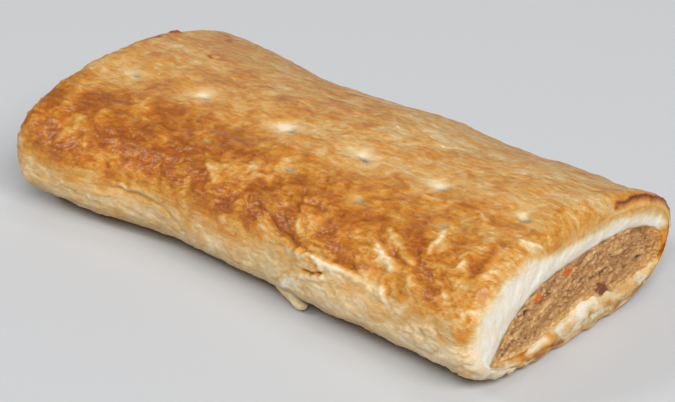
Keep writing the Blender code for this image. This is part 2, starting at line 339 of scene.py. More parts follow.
# middle on the chart (x, s), reach along x and across it, and browning of broad patches
PATCHES = (
    (-38, 27, 10, 6.5, 0.13),
    (-28, 19, 11, 4.5, 0.08),
    (-44.5, 31, 4, 3, 0.1),
    (-52, 18, 5, 3, 0.1),
    (-53.5, 27, 4, 1.6, 0.14),
    (-30.8, 32, 3, 2, 0.1),
    (-22, 27.6, 4, 4, 0.2),
    (-16, 32, 3, 3, 0.14),
    (-7, 33.2, 2.4, 1.8, 0.12),
    (3, 34, 5, 3.4, 0.2),
    (5, 27, 5, 2.4, 0.14),
    (17.5, 25, 4, 3, 0.1),
    (14, 31, 4, 4, 0.1),
    (27, 32, 9, 3, 0.12),
    (36, 18, 9, 4, 0.08),
    (45, 24, 5, 3, 0.1),
    (58, 11.5, 6, 2.6, 0.16),
    (65.6, 4.4, 1.8, 1, 0.2),
    (53, 31, 3, 2, 0.12),
    (56.6, 35.2, 1.6, 2.6, 0.14),
    (62.6, 27, 2.6, 1.4, 0.18),
    (-42, 12, 10, 3, 0.05),
    (-60, 33, 6, 5, 0.06),
    (-58.8, -24, 3.4, 2, 0.34),
    (-12, -21, 3, 2, 0.24),
    (-46, -8.7, 5, 1.4, 0.16),
    (6, -5, 2.2, 1.4, 0.12),
    (9, -9, 3, 1.2, 0.1),
    (38, -21, 4, 3, 0.12),
    (17, -13, 9, 5, -0.05),
    (52, -17, 6, 5, -0.05),
    (-60, 22, 5, 7, -0.1),
    (-67, 12, 3, 10, -0.08),
    (-27.5, 45.8, 3, 1.4, -0.14),
    (4.2, 21.8, 3, 2, -0.12),
    # this pale patch and the next are painted highlight, where crinkles of the front catch the light
    (-12, 30, 3.4, 3.6, -0.1),
    (-48.8, 24, 2.4, 3.4, -0.06),
)

# middle of a dimple (x, s), of its pin hole (x, s), how pale it is, and its radius
DOCKING = (
    (-54.9, 10, -54, 9.8, 0.5, 3.2),
    (-34.4, 8.6, -33, 9.2, 0.74, 3.5),
    (-7.9, 9.4, -6.1, 9.7, 0.86, 3.7),
    (15.5, 9.2, 17.2, 10.1, 0.76, 3.5),
    (37.6, 8.8, 39.2, 9.5, 0.74, 3.1),
    (60, 8, 61.5, 9, 0.6, 2.6),
    (-41.9, 23.8, -41.2, 23.6, 0.06, 2.4),
    (-20.6, 23.4, -20.2, 23.3, 0.1, 2.2),
    (3.8, 21.8, 5, 21.9, 0.34, 2.8),
    (26, 21.9, 27, 21.9, 0.28, 2.4),
    (47.7, 20.2, 48.6, 20.1, 0.26, 1.9),
)


def distance_to_path(x, s, knots):
    """The distance from each place on the chart to a smooth line through knots, and how far along it is."""
    t = np.linspace(0, 1, len(knots))
    fine = np.linspace(0, 1, 6 * (len(knots) - 1) + 1)
    degree = min(len(knots) - 1, 3)
    line = np.stack([np.polynomial.Polynomial.fit(t, knots[:, k], degree)(fine) for k in (0, 1)], axis=1)
    best = np.full(x.shape, 1e9)
    along = np.zeros(x.shape)
    for index, (start, end) in enumerate(zip(line[:-1], line[1:])):
        run = end - start
        share = ((x - start[0]) * run[0] + (s - start[1]) * run[1]) / (run @ run)
        share = np.clip(share, 0, 1)
        gap = np.hypot(x - start[0] - share * run[0], s - start[1] - share * run[1])
        closer = gap < best
        best = np.where(closer, gap, best)
        along = np.where(closer, (index + share) / (len(line) - 1), along)
    return best, along


STROKE_STRAY = 0.60
STROKE_REACH = 5
STROKE_HEIGHT = 1.4
# how strongly creases are darkened, partly as painted shade, and ridges paled, as painted highlight
STROKE_BROWNING = 0.85
STROKE_PALING = 1.5


def add_strokes(x, s, place, lift, brown):
    """Creases and ridges along STROKES, with wandering, broken edges; the ridges are paled as painted
    highlight, and the creases darkened, partly as painted shade.
    """
    x_stray = x + STROKE_STRAY * layered_noise(place / 2.6, 701, 2, 0.5)
    s_stray = s + STROKE_STRAY * layered_noise(place / 2.6, 711, 2, 0.5)
    vigour = 1 + 0.40 * value_noise(place / 1.7, 721)
    for path, width, height, browning in STROKES:
        knots = np.reshape(path, (-1, 2))
        low, high = knots.min(axis=0) - STROKE_REACH, knots.max(axis=0) + STROKE_REACH
        near = (x > low[0]) & (x < high[0]) & (s > low[1]) & (s < high[1])
        gap, along = distance_to_path(x_stray[near], s_stray[near], knots)
        fade = ease(along, -0.10, 0.30) * ease(along, 1.10, 0.70)
        core = bell(gap, width * vigour[near]) * fade
        lift[near] += STROKE_HEIGHT * height * core
        brown[near] += browning * core * (STROKE_BROWNING if browning > 0 else STROKE_PALING)


DIMPLE_STRETCH = 1.35
DIMPLE_DEPTH = 0.45
DIMPLE_BROWNING = 0.12
PIN_HALF_LENGTH = 1.8
PIN_SQUASH = 0.80
PIN_DEPTH = 0.8


def add_docking(x, s, place, lift, brown):
    """Pale dimples that the docker pressed, each with a pin hole: how pale they are, how deep in a hole."""
    pit = np.zeros_like(x)
    halo = np.zeros_like(x)
    ragged = 1 + 0.35 * layered_noise(place / 2.4, 400, 3, 0.6)
    for ring_x, ring_s, hole_x, hole_s, paleness, radius in DOCKING:
        gap = np.hypot((x - ring_x) / DIMPLE_STRETCH, s - ring_s) / (radius * ragged)
        ring = 0.40 * np.exp(-(gap**2) / 0.28) + 0.60 * np.exp(-(gap**2) / 1.3)
        near = np.minimum(1.0, 1.3 * paleness * ring)
        brown[:] = brown * (1 - near) + DIMPLE_BROWNING * near
        halo = np.maximum(halo, near)
        lift -= DIMPLE_DEPTH * np.exp(-(gap**2)) * min(1.0, paleness * 1.5)
        hole = np.hypot((x - hole_x) / PIN_HALF_LENGTH, s - hole_s) / PIN_SQUASH
        depth = np.exp(-(hole**4)) * min(1.0, 0.45 + paleness * 0.7)
        lift -= PIN_DEPTH * depth
        pit = np.maximum(pit, depth)
    return halo, pit


def crust_regions(x, s, side):
    """How far each place belongs to the top, to the brown band down the front and to the paler sides."""
    crisp = ease(x, 6, 14) * ease(x, 60, 48)
    pale_front = crisp * ease(side, 36.6, 38.4) + (1 - crisp) * ease(side, 35.0, 46.0)
    pale_back = ease(side, -31.0, -39.0)
    return {
        "top": ease(s, 22, 12) * ease(s, -40, -30),
        "band": ease(s, 11, 22) * ease(s, 43, 36),
        "crisp": crisp,
        "pale_front": pale_front,
        "pale_back": pale_back,
        "pale": np.maximum(pale_front, pale_back),
    }


def crust_patterns(x, s, wander, place):
    """The patterns of baked, flaky dough, as noises on the crust (place) and on its chart (x, s)."""
    skin = ridged(warped(place / (5.0, 3.6, 3.6), 51, 0.8), 55, 3)
    slant = on_chart(x + 0.6 * s, s + 2.0 * wander, 4.6, 1.9, 2.1)
    flow = on_chart(x + 0.5 * s, s + 3.5 * wander, 7.0, 1.5, 3.3)
    strings = on_chart(x - 0.4 * s, s + 3.0 * wander, 6.0, 1.7, 7.1)
    sheets = on_chart(x + 1.2 * s, s + 4.0 * wander, 13.0, 2.4, 5.2)
    scales = warped(place / (4.2, 2.8, 2.8), 91, 0.5)
    return {
        "lumps": layered_noise(warped(place / 3.0, 41, 0.6), 45, 3, 0.65),
        "mottle": layered_noise(warped(place / 6.5, 131, 0.6), 135, 4, 0.62),
        "skin": skin,
        "crests": np.clip(skin, -0.5, 1),
        "creases": ridged(warped(slant, 61, 0.8), 65, 2),
        "crinkle": ridged(warped(place / (3.4, 1.9, 1.9), 161, 0.9), 165, 2),
        "streak": layered_noise(warped(flow, 71, 0.55), 75, 3, 0.65),
        "threads": ridged(warped(strings, 171, 0.7), 175, 2),
        "leaves": terraced(layered_noise(warped(sheets, 81, 0.35), 85, 3), 2.5),
        "flaked": terraced(layered_noise(scales, 95, 3), 2.0),
    }


# how far each pattern lifts each region, in mm
LIFTS = {
    "top": {"streak": 0.10, "flaked": 0.07, "crests": 0.10, "crinkle": 0.07, "threads": 0.08},
    "band": {"skin": 0.28, "creases": 0.24, "flaked": 0.10, "crinkle": 0.17},
    "pale": {"leaves": 0.24, "streak": 0.14, "threads": 0.10, "crinkle": 0.06},
}
PUFF_HEIGHT = 0.24
LUMP_HEIGHT = 0.11


def crust_lift(s, place, regions, patterns):
    """How far the crust stands out, in mm, before the strokes and the docking."""
    calm = 1 - 0.5 * ease(s, -4, -16) * ease(s, -38, -30)
    lift = PUFF_HEIGHT * layered_noise(place / 9.0, 1, 2) + LUMP_HEIGHT * patterns["lumps"] * calm
    for region, heights in LIFTS.items():
        share = regions[region] * (calm if region == "top" else 1)
        for pattern, height in heights.items():
            lift += share * height * patterns[pattern]
    return lift


def crust_browning(x, s, side, wander, regions, patterns):
    """The level of browning: gold on the top, darker in the band, pale on the sides, all of it mottled; the
    relief's crests are painted paler as highlight, and its valleys darker, partly as painted shade.
    """
    top, band, crisp = regions["top"], regions["band"], regions["crisp"]
    pale, pale_front = regions["pale"], regions["pale_front"]
    lumps, skin, threads = patterns["lumps"], patterns["skin"], patterns["threads"]
    far = ease(x, 12, -12)
    brown = 0.54 + 0.06 * ease(s, 4, 14) + 0.14 * band * (1 + 0.7 * far)
    brown += top * (0.03 * far - 0.06 * ease(s, 2, -12) - 0.02 * bell(x - 22, 26))
    brown -= (0.19 + 0.06 * crisp) * pale_front + 0.22 * regions["pale_back"]
    brown -= 0.10 * ease(side, 42, 47) + 0.05 * ease(side, -38, -44)
    brown -= 0.11 * ease(x, 52, 66) * ease(s, 13, 23)

    brown += (0.10 + 0.06 * band - 0.05 * pale) * patterns["mottle"] + (0.05 + 0.05 * band) * lumps
    brown += (0.12 - 0.04 * band) * patterns["streak"] * (1 - 0.4 * pale)
    # paler on the crests of the relief (skin, creases, crinkles, threads, raised leaves): painted highlight;
    # darker in the band's valleys and the pale front's thread troughs: partly painted shade, partly real
    # deeper browning
    crest = np.clip(skin - 0.2, 0, 1)
    fold = np.clip(patterns["creases"] - 0.1, 0, 1)
    brown -= (0.03 + 0.14 * band) * crest + (0.02 + 0.10 * band) * fold
    brown -= (0.03 + 0.05 * band) * patterns["crinkle"] + 0.04 * (1 - band) * threads
    brown += band * (0.05 * patterns["flaked"] + 0.12 * np.clip(-skin - 0.35, 0, 1))
    brown += 0.16 * pale_front * np.clip(-threads - 0.25, 0, 1) - 0.04 * pale * patterns["leaves"]

    for centre_x, centre_s, wide, high, amount in PATCHES:
        reach = ((x + 1.4 * wander - centre_x) / wide) ** 2 + ((side - centre_s) / high) ** 2
        brown += amount * np.exp(-reach) * (1 + 0.5 * lumps)
    return brown


# browning slows above the first level and below the second
DARK_LEVEL = 0.85
PALE_LEVEL = 0.13
PIN_BROWNING = 0.04


def crust_relief(x, s, place):
    """How far the crust stands out (mm), how brown it is, how deep in a docking hole, and how grainy."""
    wander = layered_noise(place / 8.0, 3, 4, 0.6)
    side = s + 2.4 * wander
    regions = crust_regions(x, s, side)
    patterns = crust_patterns(x, s, wander, place)
    lift = crust_lift(s, place, regions, patterns)
    brown = crust_browning(x, s, side, wander, regions, patterns)
    add_strokes(x, s, place, lift, brown)
    brown = np.where(brown > DARK_LEVEL, DARK_LEVEL + 0.5 * (brown - DARK_LEVEL), brown)
    brown = np.maximum(brown, PALE_LEVEL + 0.3 * (brown - PALE_LEVEL))
    halo, pit = add_docking(x, s, place, lift, brown)
    brown = brown * (1 - pit) + PIN_BROWNING * pit
    grain = 1 - 0.45 * regions["pale"] - 0.7 * halo
    return lift, brown, pit, np.clip(grain, 0.2, 1)


def burnt_edge(x, s, inset):
    """The scorched, lifted edge of the top sheet at the back of the near end: browning and lift."""
    along_back = ease(s, -8.0, -10.5) * ease(s, -42, -38) * (x > 0)
    line = 2.75 + 0.30 * np.sin(s / 2.6) + 0.15 * np.sin(s / 1.1 + 1)
    gap = inset - line
    core = bell(gap, 0.40) * along_back
    glow = along_back * bell(np.minimum(gap + 0.4, 0), 1.8) * ease(gap, 1.0, 0.2)
    tan = along_back * ease(gap, 0.1, 0.5) * ease(gap, 2.6, 1.0)
    spot = bell(s + 9.0, 0.8) * bell(inset - 3.9, 0.7) * (x > 0)
    burn = 0.75 * core + 0.10 * glow + 0.22 * tan + 0.60 * spot
    lip = 0.32 * glow - 0.28 * tan
    return burn, lip


def cut_paleness(turned, depth, s, ragged):
    """How far the golden top has given way to white dough, round the turn (0 to 1) and depth mm in."""
    down_front = ease(s, 6, 22)
    start = 1.06 - 1.02 * down_front + 0.12 * ragged + 0.10 * ease(s, -6, -20)
    return ease(turned + depth / 4.0, start, start + 0.80)


def grid_faces(rows, columns, wrap):
    """Quads of a grid of rows by columns points; wrap joins the last column to the first."""
    across = columns if wrap else columns - 1
    row, column = np.meshgrid(np.arange(rows - 1), np.arange(across), indexing="ij")
    following = (column + 1) % columns
    a = row * columns + column
    b = row * columns + following
    quads = np.stack([a, b, b + columns, a + columns], axis=-1)
    return quads.reshape(-1, 4)


def mesh_object(name, points, faces, look):
    """A smooth closed mesh of points in millimetres, faces out; look is the colour that its shader reads."""
    mesh = bpy.data.meshes.new(name)
    mesh.from_pydata((points * MM).tolist(), [], faces)
    mesh.update()
    paint = mesh.color_attributes.new("look", "FLOAT_COLOR", "POINT")
    paint.data.foreach_set("color", np.ascontiguousarray(look, dtype=np.float32).ravel())
    skin = bmesh.new()
    skin.from_mesh(mesh)
    bmesh.ops.remove_doubles(skin, verts=skin.verts, dist=SAME_POINT)
    bmesh.ops.recalc_face_normals(skin, faces=skin.faces)
    skin.to_mesh(mesh)
    skin.free()
    mesh.polygons.foreach_set("use_smooth", np.ones(len(mesh.polygons), dtype=bool))
    made = bpy.data.objects.new(name, mesh)
    bpy.context.scene.collection.objects.link(made)
    return made


def normals_of(points):
    """Unit normals of a grid of points (rows, columns, 3) that wraps round its columns, facing out."""
    round_step = np.roll(points, -1, axis=1) - np.roll(points, 1, axis=1)
    row_step = np.gradient(points, axis=0)
    normal = np.cross(round_step, row_step)
    return normal / np.maximum(np.linalg.norm(normal, axis=-1, keepdims=True), 1e-9)


AROUND = 316
ALONG = 232
TURN_ROWS = 18
RIM_ROWS = 11
INNER_ROWS = 5


def crust_rows():
    """x and inset of each row of the sleeve's surface, far cut to near cut."""
    straight = HALF - END_ROUNDING
    turn = np.linspace(math.pi / 2, 0, TURN_ROWS + 1)[:-1]
    body = np.linspace(-straight, straight, ALONG + 1)
    out = END_ROUNDING * np.sin(turn)
    down = END_ROUNDING * (1 - np.cos(turn))
    x = np.concatenate([-straight - out, body, straight + out[::-1]])
    return x, np.concatenate([down, 0 * body, down[::-1]])


def crust_columns():
    """s and the angle of each column of the sleeve, close together where the crust is seen most."""
    section_angles, section_ways = round_the_section()
    fine = np.linspace(section_ways[0], section_ways[-1], 4000)
    middle = (fine[1:] + fine[:-1]) / 2
    weight = np.where(np.abs(middle) > 52, 0.55, np.where(middle < -28, 0.8, 1.15))
    run = np.concatenate([[0.0], np.cumsum(weight)])
    ways = np.interp(np.linspace(0, run[-1], AROUND + 1), run, fine)[:-1]
    return ways, np.interp(ways, section_ways, section_angles)


LAP_COLUMNS = 6


def step_underside(points, angles):
    """Ends the bottom sheet in a torn edge at the back, as the solids have it, and lifts what is behind."""
    below = np.nonzero(np.sin(angles) < -0.05)[0]
    below = below[np.cos(angles[below]) > 0]
    for row in points:
        x = row[0, 0]
        edge = LAP_EDGE_Y + 0.5 * math.sin(x / 5.1) * math.sin(x / 1.9 + 1) + 0.25 * math.sin(x / 0.8)
        behind = below[row[below, 1] > edge]
        behind = behind[row[behind, 2] < LAP_STEP]
        if len(behind) < 3:
            continue
        first = behind[0]
        low = row[first, 2]
        row[behind, 2] = LAP_STEP
        for step in range(LAP_COLUMNS):
            share = step / (LAP_COLUMNS - 1)
            column = first - LAP_COLUMNS // 2 + step
            row[column, 1] = edge + 0.35 * math.sin(math.pi * share) - 0.3 * (1 - share)
            row[column, 2] = low + (LAP_STEP - low) * share


def look_of(brown, gloss, grain, shade):
    """The four channels that the pastry's material reads; the last, shade, darkens the colour as painted
    shade.
    """
    return np.stack(np.broadcast_arrays(brown, gloss, grain, shade), axis=-1)


def make_crust():
    """The pastry: crust, cut rims and the hollow's wall, as one closed surface."""
    ways, angles = crust_columns()
    x_rows, inset_rows = crust_rows()
    x, s = np.meshgrid(x_rows, ways, indexing="ij")
    inset, angle = np.meshgrid(inset_rows, angles, indexing="ij")
    base = outer_points(x, inset, angle)
    lift, brown, pit, grain = crust_relief(x, s, base)
    turned = inset / END_ROUNDING
    ragged = layered_noise(base / 3.4, 77, 4, 0.6)

    # the golden wash thins out as the crust turns over to the cut, sooner down the front
    washed = cut_paleness(turned, 0.0, s, ragged)
    brown = brown * (1 - washed) + washed * (0.08 + 0.03 * ragged)
    burn, lip = burnt_edge(x, s, inset)
    brown = np.maximum(brown, 0.03 + 0.03 * ragged) + burn
    lift = lift * (1 - 0.7 * ease(turned, 0.3, 1.0)) + lip
    under = ease(base[..., 2], 4.0, 0.8) * (np.sin(angle) < 0)
    under = under * ease(np.abs(base[..., 1]), 34, 28)
    brown = brown + under * (0.26 + 0.14 * layered_noise(base / 4.0, 61, 3))
    stain = end_stain(base)
    brown = brown + stain * ease(HALF - x, 5.0, 1.0)

    fixed = ease(base[..., 2], 0.2, 2.4)
    crust = base + normals_of(base) * (np.clip(lift, -1.5, 0.6) * fixed)[..., None]
    scallop(crust)
    step_underside(crust, angles)
    gloss = np.clip(1.8 * (brown - 0.16), 0, 1) * (1 - pit)
    # painted shade: darker in the pin holes, and along the front's lowest edge above the floor
    shade = (1 - 0.78 * pit) * (1 - 0.16 * ease(s, 46, 53))
    look = look_of(brown, gloss, grain * (1 - 0.6 * ease(turned, 0.4, 1.0)), shade)

    near_rim, near_look = make_rim(crust[-1], angles, ways, 1.0)
    far_rim, far_look = make_rim(crust[0], angles, ways, -1.0)
    inner_x = np.linspace(HALF - 4, 4 - HALF, INNER_ROWS)
    inner = hollow_points(*np.meshgrid(inner_x, angles, indexing="ij"))
    # the hollow's wall is painted darker, as shade
    inner_look = np.broadcast_to(look_of(0.25, 0.1, 0.5, 0.8), inner.shape[:2] + (4,))
    points = np.concatenate([crust, near_rim, inner, far_rim[::-1]])
    looks = np.concatenate([look, near_look, inner_look, far_look[::-1]])
    rows = len(points)
    faces = grid_faces(rows + 1, AROUND, True) % (rows * AROUND)
    return mesh_object("crust", points.reshape(-1, 3), faces[:, ::-1].tolist(), looks.reshape(-1, 4))


def scallop(crust):
    """Lumps along the bottom sheet's edge at both cuts, and its tucked back corner at the near one."""
    y, z = crust[..., 1], crust[..., 2]
    tucked = bell(np.hypot(y - 37.5, z - 6.5), 6.5) * ease(crust[..., 0], HALF - 16, HALF - 2)
    crust[..., 1] -= 1.3 * tucked
    crust[..., 2] += 1.1 * tucked
    low = ease(z, 7.0, 2.5) * ease(HALF - np.abs(crust[..., 0]), 3.0, 0.6)
    across = np.stack([np.sign(crust[..., 0]), y / 3.6, np.zeros_like(y)], axis=-1)
    lumps = layered_noise(across, 541, 3, 0.6)
    crust[..., 2] += 1.1 * low * np.maximum(lumps, -0.4)
    crust[..., 0] += np.sign(crust[..., 0]) * 0.25 * low * lumps


# y, z, radius across, radius up, browning: stains on the dough of the bottom sheet at the near cut
END_STAINS = (
    (-15.2, 2.8, 3.4, 1.3, 0.5),
    (-9.4, 2.4, 2.2, 0.9, 0.72),
    (-20.5, 4.6, 2, 0.9, 0.25),
    (2.8, 4.9, 0.9, 0.9, 0.55),
    (8.6, 4.6, 1.8, 1.2, 0.22),
    (12.4, 3.2, 1.6, 1.2, 0.34),
    (20.2, 3.1, 2.6, 1, 0.42),
    (22.4, 1.9, 1.4, 1, 0.66),
    (16, 1.5, 2.6, 0.7, 0.62),
    (20.2, 0.9, 2.6, 0.8, 1.05),
    (26.5, 5.2, 3, 1.2, 0.1),
)


def end_stain(points):
    """Golden leaks and scorched spots over the bottom sheet's end, in levels of browning."""
    y, z = points[..., 1], points[..., 2]
    ragged = layered_noise(warped(points / 1.6, 530, 0.5), 531, 3, 0.7)
    stain = np.zeros_like(y)
    for centre_y, centre_z, across, up, amount in END_STAINS:
        reach = np.hypot((y - centre_y) / across, (z - centre_z) / up) + 0.35 * ragged
        stain += amount * ease(reach, 1.35, 0.55)
    return stain


def make_rim(edge, angles, ways, side):
    """The cut face of the pastry from the crust's edge in to the mouth, with its layers showing."""
    mouth = hollow_points(np.full(AROUND, side * (HALF - MOUTH_DEPTH)), angles)
    mouth[:, 2] += mouth_wobble(mouth, side)
    top = np.sin(angles) > 0
    share = np.linspace(0, 1, RIM_ROWS + 1)[1:, None]
    points = edge[None] * (1 - share[..., None]) + mouth[None] * share[..., None]
    depth = share * np.linalg.norm(edge - mouth, axis=-1)[None]
    place = points * (0.2, 1.0, 1.0)
    layers = layered_noise(warped(place / 3.4 + side * 9, 90, 0.5), 91, 3, 0.6)
    leaf = np.sin(2 * math.pi * depth / 1.5 + 3.0 * layers)
    patchy = ease(value_noise(place / 6.0 + side * 3, 97), -0.1, 0.5)
    sheet = points / np.array([2.0, 5.5, 1.7]) + (side * 5, 0.0, 0.0)
    flakes = layered_noise(warped(sheet, 98, 0.5), 99, 4, 0.65)
    arch = np.sin(math.pi * np.clip(share * 0.94, 0, 1)) ** 1.5
    low = ease(points[..., 2], 8.5, 5.5)
    bulge = arch * (0.40 + 0.40 * low + 0.25 * layers * (1 - low))
    bulge = bulge + 0.40 * low * flakes * ease(share, 1.0, 0.85)
    leafy = ease(share, 0.1, 0.3) * ease(share, 1.0, 0.85) * (1 - 0.6 * low)
    bulge = bulge + (0.07 * patchy + 0.01) * leaf * leafy
    points[..., 0] += side * bulge
    level = 0.01 + low * (0.24 + 0.27 * flakes)
    # the grooves between the layers are painted darker, as shade
    level = level + (1 - low) * (0.03 * layers + 0.05 * patchy * np.maximum(-leaf, 0))
    level = level + 0.14 * ease(share, 0.84, 1.0) * (1 - 0.4 * low)
    ragged = layered_noise(points / 3.4, 77, 4, 0.6)
    golden = 1 - cut_paleness(1.0, depth, ways[None], ragged)
    level = level + 0.46 * golden * (1 - low)
    level = level + end_stain(points) * (1.0 if side > 0 else 0.0)
    if side < 0:
        mirrored = points * (1.0, -1.0, 1.0)
        level = level + 0.8 * end_stain(mirrored)
    height = points[..., 2]
    back = ease(points[..., 1], 27.5, 30.5) * ease(height, 5.5, 8.0) * ease(height, 17.0, 14.5)
    level = level + 0.52 * back
    # painted shade: darker at the mouth's upper edge and over the bottom sheet's cut end
    shade = (1 - 0.10 * ease(share, 0.92, 1.0) * top[None]) * (1 - 0.20 * low)
    gloss = 0.15 + 0.4 * np.clip(level, 0, 1)
    return points, look_of(np.clip(level, 0, 1.6), gloss, 0.35 + 0.5 * golden, shade)


# ---- Filling ----
FACE_ACROSS = 260
FACE_UP = 56
# the meat overlaps the hollow's wall a little, so no gap shows between them
MEAT_GAP = -0.04
MEAT_RECESS = 1.0
# the fourth channel of the mince's colours, which no shader reads
UNREAD = 0.5

# kind, y and z of the middle, half length and half height, and tilt in degrees, on both cut faces
INCLUSIONS = (
    ("carrot", -5.8, 18.5, 1.9, 1, -8),
    ("carrot", -15.9, 16.2, 1.7, 1.1, 25),
    ("dark_meat", 8.3, 7.9, 3.3, 1.4, -42),
    # the hollows are sunk pits painted dark, as shade
    ("hollow", -19.6, 14.2, 0.7, 1, 20),
    ("hollow", -0.4, 14, 0.9, 0.6, 0),
    ("hollow", 1.9, 17.2, 1.2, 0.5, 10),
    ("hollow", 8.2, 12.6, 1.3, 0.6, 15),
    ("hollow", 26.6, 11.6, 0.9, 0.6, 30),
    ("hollow", 21.1, 11, 1.1, 0.5, 0),
    ("hollow", -25.9, 7.6, 1.2, 0.5, 35),
    ("hollow", -20.5, 7.8, 1.2, 0.6, 30),
    ("brown", -12.4, 10.8, 3.4, 1, 20),
    ("brown", 13.6, 9.6, 3, 0.9, 5),
    ("fat", -12.4, 13, 2.4, 0.7, 12),
    ("fat", 4.6, 18.8, 2.6, 0.6, 5),
    ("fat", 13, 15.6, 2.2, 0.6, -10),
    ("fat", -22.6, 10.4, 1.6, 0.6, 30),
    ("fat", 17.5, 8.8, 1.8, 0.5, 8),
)

SHADES = {
    "meat": (188, 138, 84),
    "pale": (210, 164, 104),
    "grey": (170, 130, 90),
    "brown": (150, 100, 54),
    "golden": (206, 146, 68),
    # painted shade, for the seams, cracks and pits of the mince and the gap under the crust
    "crevice_shade": (92, 56, 30),
    "carrot": (196, 100, 24),
    "dark_meat": (112, 52, 26),
    # painted shade, for the pits listed as hollows in INCLUSIONS
    "hollow": (66, 42, 26),
    "fat": (222, 182, 120),
    "dough": (216, 180, 124),
}


def linear(rgb):
    """An sRGB colour of 0 to 255 as linear values."""
    share = np.array(rgb, float) / 255
    return np.where(share <= 0.04045, share / 12.92, ((share + 0.055) / 1.055) ** 2.4)


def blend(colour, kind, amount):
    """colour moved by amount towards one of SHADES."""
    amount = np.clip(amount, 0, 1)[..., None]
    return colour * (1 - amount) + linear(SHADES[kind]) * amount


def lens_grid(side):
    """y and z of a grid over the filling's section, front tip to back, out to the torn mouth."""
    t = np.linspace(math.pi, 0, FACE_ACROSS + 1)
    across = 0.5 * np.cos(t) + 0.5 * np.linspace(-1, 1, FACE_ACROSS + 1)
    behind = across >= 0
    y = across * (np.where(behind, HOLLOW_BACK, HOLLOW_FRONT) - MEAT_GAP)
    axis = HOLLOW_AXIS_Z + HOLLOW_AXIS_SLOPE * y
    size = np.abs(across)
    front_rise = (1 - size ** HOLLOW_FRONT_POWERS[0]) ** (1 / HOLLOW_FRONT_POWERS[1])
    back_rise = (1 - size ** HOLLOW_BACK_POWERS[0]) ** (1 / HOLLOW_BACK_POWERS[1])
    rise = np.where(behind, back_rise, front_rise)
    drop = (1 - size**HOLLOW_FLOOR_POWER) ** (1 / HOLLOW_FLOOR_POWER)
    top = axis + (HOLLOW_TOP - MEAT_GAP) * rise
    bottom = axis - (axis - hollow_floor(y) - MEAT_GAP) * drop
    y = CROWN_Y + y
    mouth_x = np.full_like(y, side * (HALF - MOUTH_DEPTH))
    top = top + mouth_wobble(np.stack([mouth_x, y, top], axis=-1), side)
    bottom = bottom + mouth_wobble(np.stack([mouth_x, y, bottom], axis=-1), side)
    up = np.linspace(0, 1, FACE_UP + 1)[:, None]
    return np.repeat(y[None], FACE_UP + 1, axis=0), bottom + (top - bottom) * up


def add_inclusions(y, z, rough, colour, rise):
    """Colours the INCLUSIONS, with rough outlines, and lifts or sinks them."""
    for kind, centre_y, centre_z, long, high, tilt in INCLUSIONS:
        turn = math.radians(tilt)
        off_y, off_z = y - centre_y, z - centre_z
        u = (off_y * math.cos(turn) + off_z * math.sin(turn)) / long
        v = (off_z * math.cos(turn) - off_y * math.sin(turn)) / high
        spread = (np.abs(u) ** 3 + np.abs(v) ** 3) ** (1 / 3) + 0.34 * rough
        inside = ease(spread, 1.15, 0.75)
        soft = 0.5 if kind in ("brown", "fat") else 0.92
        colour = blend(colour, kind, soft * inside)
        rise = rise + inside * (-0.75 if kind == "hollow" else 0.26 - 0.30 * rough)
    return colour, rise


def meat_face(side, seed):
    """The cut face of the filling: its points and colours, minced and pitted."""
    y, z = lens_grid(side)
    x = np.zeros_like(y)
    place = np.stack([x + seed, y, z], axis=-1)
    broad = layered_noise(warped(place / (1.0, 7.0, 4.0), seed + 15, 0.5), seed + 16, 2)
    strands = warped(place / (1.0, 3.0, 1.5), seed + 1, 0.8)
    first, second, label = cell_noise(strands, seed)
    crumbs = warped(place / (1.0, 1.0, 0.62), seed + 3, 0.7)
    crumb_first, crumb_second, crumb_label = cell_noise(crumbs, seed + 5)
    rough = layered_noise(warped(place / (1.0, 1.6, 1.0), seed + 8, 0.5), seed + 9, 4, 0.7)
    seam = np.exp(-((second - first) / 0.09) ** 2)
    crack = np.exp(-((crumb_second - crumb_first) / 0.12) ** 2)
    tint = np.random.default_rng(seed).uniform(-1, 1, TABLE_SIZE)
    holes = warped(place / (1.0, 1.6, 0.8), seed + 20, 0.5)
    pits = ease(value_noise(holes, seed + 21), 0.50, 0.74)

    strand_tint, crumb_tint = tint[label], tint[crumb_label]
    rise = 0.30 * rough - 0.12 * seam - 0.14 * crack - 0.45 * pits + 0.10 * strand_tint + 0.12 * crumb_tint
    colour = np.broadcast_to(linear(SHADES["meat"]), place.shape)
    colour = blend(colour, "pale", 0.40 * ease(strand_tint, 0.1, 0.8) + 0.55 * rough + 0.4 * broad)
    darker = 0.50 * ease(strand_tint, -0.3, -0.9) + 0.45 * ease(rough, -0.1, -0.9)
    colour = blend(colour, "brown", darker + 0.5 * ease(broad, -0.1, -0.7))
    colour = blend(colour, "grey", 0.40 * ease(crumb_tint, 0.3, 0.8))
    colour = blend(colour, "fat", 0.50 * ease(crumb_tint, -0.78, -0.94))
    # painted shade in the seams between strands, the cracks between crumbs and the pits
    colour = blend(colour, "crevice_shade", 0.22 * seam + 0.28 * crack * ease(rough, 0.3, -0.3) + 0.60 * pits)

    floor_gap = z - z[:1]
    torn = floor_gap + 1.1 * rough + 0.8 * broad
    cooked = ease(y, 22.5, 28.5) + 0.8 * ease(torn, 3.2, 1.0)
    colour = blend(colour, "golden", 0.60 * cooked * (1 - 0.4 * crack))
    colour = blend(colour, "dough", 0.75 * ease(torn, 1.5, 0.4))

    colour, rise = add_inclusions(side * y, z, rough, colour, rise)
    # painted shade along the top of the face, under the crust's edge
    roof = np.minimum(z[-1:] - z, 3.0)
    colour = blend(colour, "crevice_shade", 0.35 * ease(roof + 0.6 * rough, 0.5, 0.1))
    border = ease(roof, 0.0, 0.8) * ease(floor_gap, 0.0, 0.5)
    border = border * ease(y + HOLLOW_FRONT, -1.2, 1.5) * ease(HOLLOW_BACK - y, 1.2, 3.0)
    swelling = 0.55 * ease(y, 16, 27)
    x = side * (HALF - MEAT_RECESS + (np.clip(rise, -1.2, 0.6) + swelling) * border)
    return np.stack([x, y, z], axis=-1), colour


